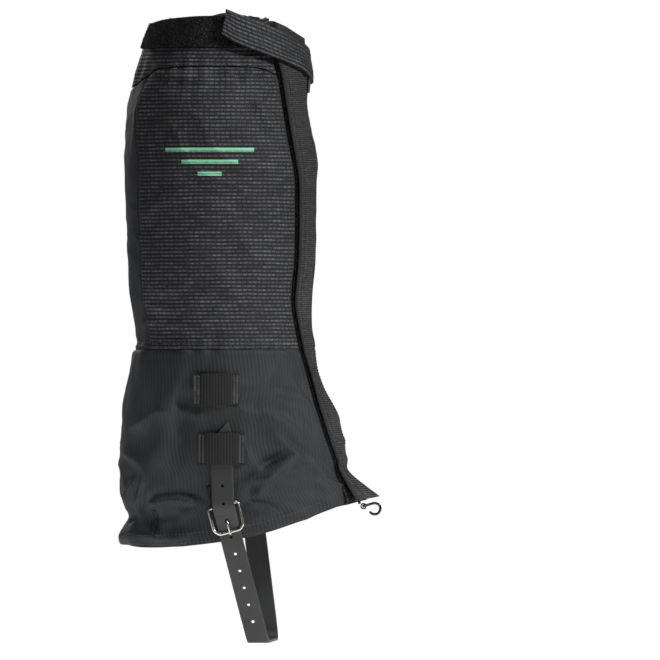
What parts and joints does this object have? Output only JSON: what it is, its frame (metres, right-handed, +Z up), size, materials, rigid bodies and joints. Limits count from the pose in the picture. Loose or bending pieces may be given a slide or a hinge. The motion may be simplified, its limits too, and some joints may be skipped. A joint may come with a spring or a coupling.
{
  "type": "hiking gaiter",
  "caption": "Knee-high boot gaiter shaped as worn: ripstop upper, plain lower, elastic collar with a top strap, front flap, lace hook and an under-foot strap with a pin buckle.",
  "frame": {"origin": "on the upper face of the strap that runs under the boot's arch, where the boot stands on it", "axes": "+X to the toe, +Y to the wearer's other leg (the inner side), +Z up the leg"},
  "size_m": [0.1969, 0.1353, 0.4775],
  "materials": {
    "ripstop_cloth": "coated ripstop cloth, dark charcoal with a lighter grid",
    "plain_cloth": "coated plain cloth with a fine upright twill line",
    "loop_pile": "black hook-and-loop pile",
    "binding_tape": "black woven tape",
    "elastic_band": "black ribbed elastic",
    "black_webbing": "black grosgrain webbing",
    "olive_webbing": "olive grey webbing",
    "coated_strap": "smooth matte coated strap, dark grey",
    "nickel_steel": "nickel plated steel wire"
  },
  "bodies": {
    "gaiter_shell": {"upper_outer_panel": "ripstop_cloth", "upper_inner_panel": "plain_cloth", "lower_outer_panel": "plain_cloth", "lower_inner_panel": "plain_cloth", "hem_facing_outer": "plain_cloth", "hem_facing_inner": "plain_cloth", "waist_tape_outer": "binding_tape", "waist_tape_inner": "binding_tape", "ankle_elastic": "elastic_band", "heel_seam_tape": "binding_tape", "rear_seam_tape": "binding_tape", "ankle_tack_outer": "binding_tape", "ankle_tack_inner": "binding_tape", "collar_outer_casing": "ripstop_cloth", "collar_elastic": "elastic_band", "collar_inner_casing": "plain_cloth", "collar_loop_band": "loop_pile", "front_underlap": "plain_cloth", "front_loop_tape": "loop_pile", "keeper_upper": "black_webbing", "keeper_lower": "black_webbing", "under_foot_strap": "coated_strap", "strap_anchor_patch": "black_webbing", "anchor_rivet_lower": "nickel_steel", "anchor_rivet_upper": "nickel_steel", "buckle_chape": "black_webbing", "hook_tab": "black_webbing"},
    "front_flap": {"front_flap_panel": "plain_cloth", "flap_edge_binding": "binding_tape", "flap_hook_tape": "loop_pile", "strap_root_loop": "olive_webbing"},
    "top_strap": {"top_strap_panel": "ripstop_cloth", "top_strap_hook_patch": "loop_pile"},
    "buckle_frame": {"buckle_frame": "nickel_steel"},
    "buckle_prong": {"buckle_prong": "nickel_steel"},
    "lace_hook": {"lace_hook": "nickel_steel"}
  },
  "joints": [
    {"name": "front_flap_hinge", "type": "hinge", "parent": "gaiter_shell", "child": "front_flap", "pos_m": [0.0095, 0.0512, 0.26], "axis": [0, 0, 1], "range_deg": [0, 105]},
    {"name": "top_strap_peel", "type": "hinge", "parent": "front_flap", "child": "top_strap", "pos_m": [0.0362, 0.0105, 0.431], "axis": [0, 0, 1], "range_deg": [0, 110]},
    {"name": "buckle_frame_pivot", "type": "hinge", "parent": "gaiter_shell", "child": "buckle_frame", "pos_m": [-0.0293, -0.05682, 0.10084], "axis": [-0.9641, 0, -0.2656], "range_deg": [0, 35], "deforming": ["under_foot_strap"]},
    {"name": "buckle_prong_pivot", "type": "hinge", "parent": "buckle_frame", "child": "buckle_prong", "pos_m": [-0.0293, -0.05682, 0.10084], "axis": [-0.9641, 0, -0.2656], "range_deg": [0, 80], "deforming": ["under_foot_strap"]},
    {"name": "lace_hook_pivot", "type": "hinge", "parent": "gaiter_shell", "child": "lace_hook", "pos_m": [0.0763, 0, 0.0996], "axis": [0, 1, 0], "range_deg": [-15, 45]}
  ]
}
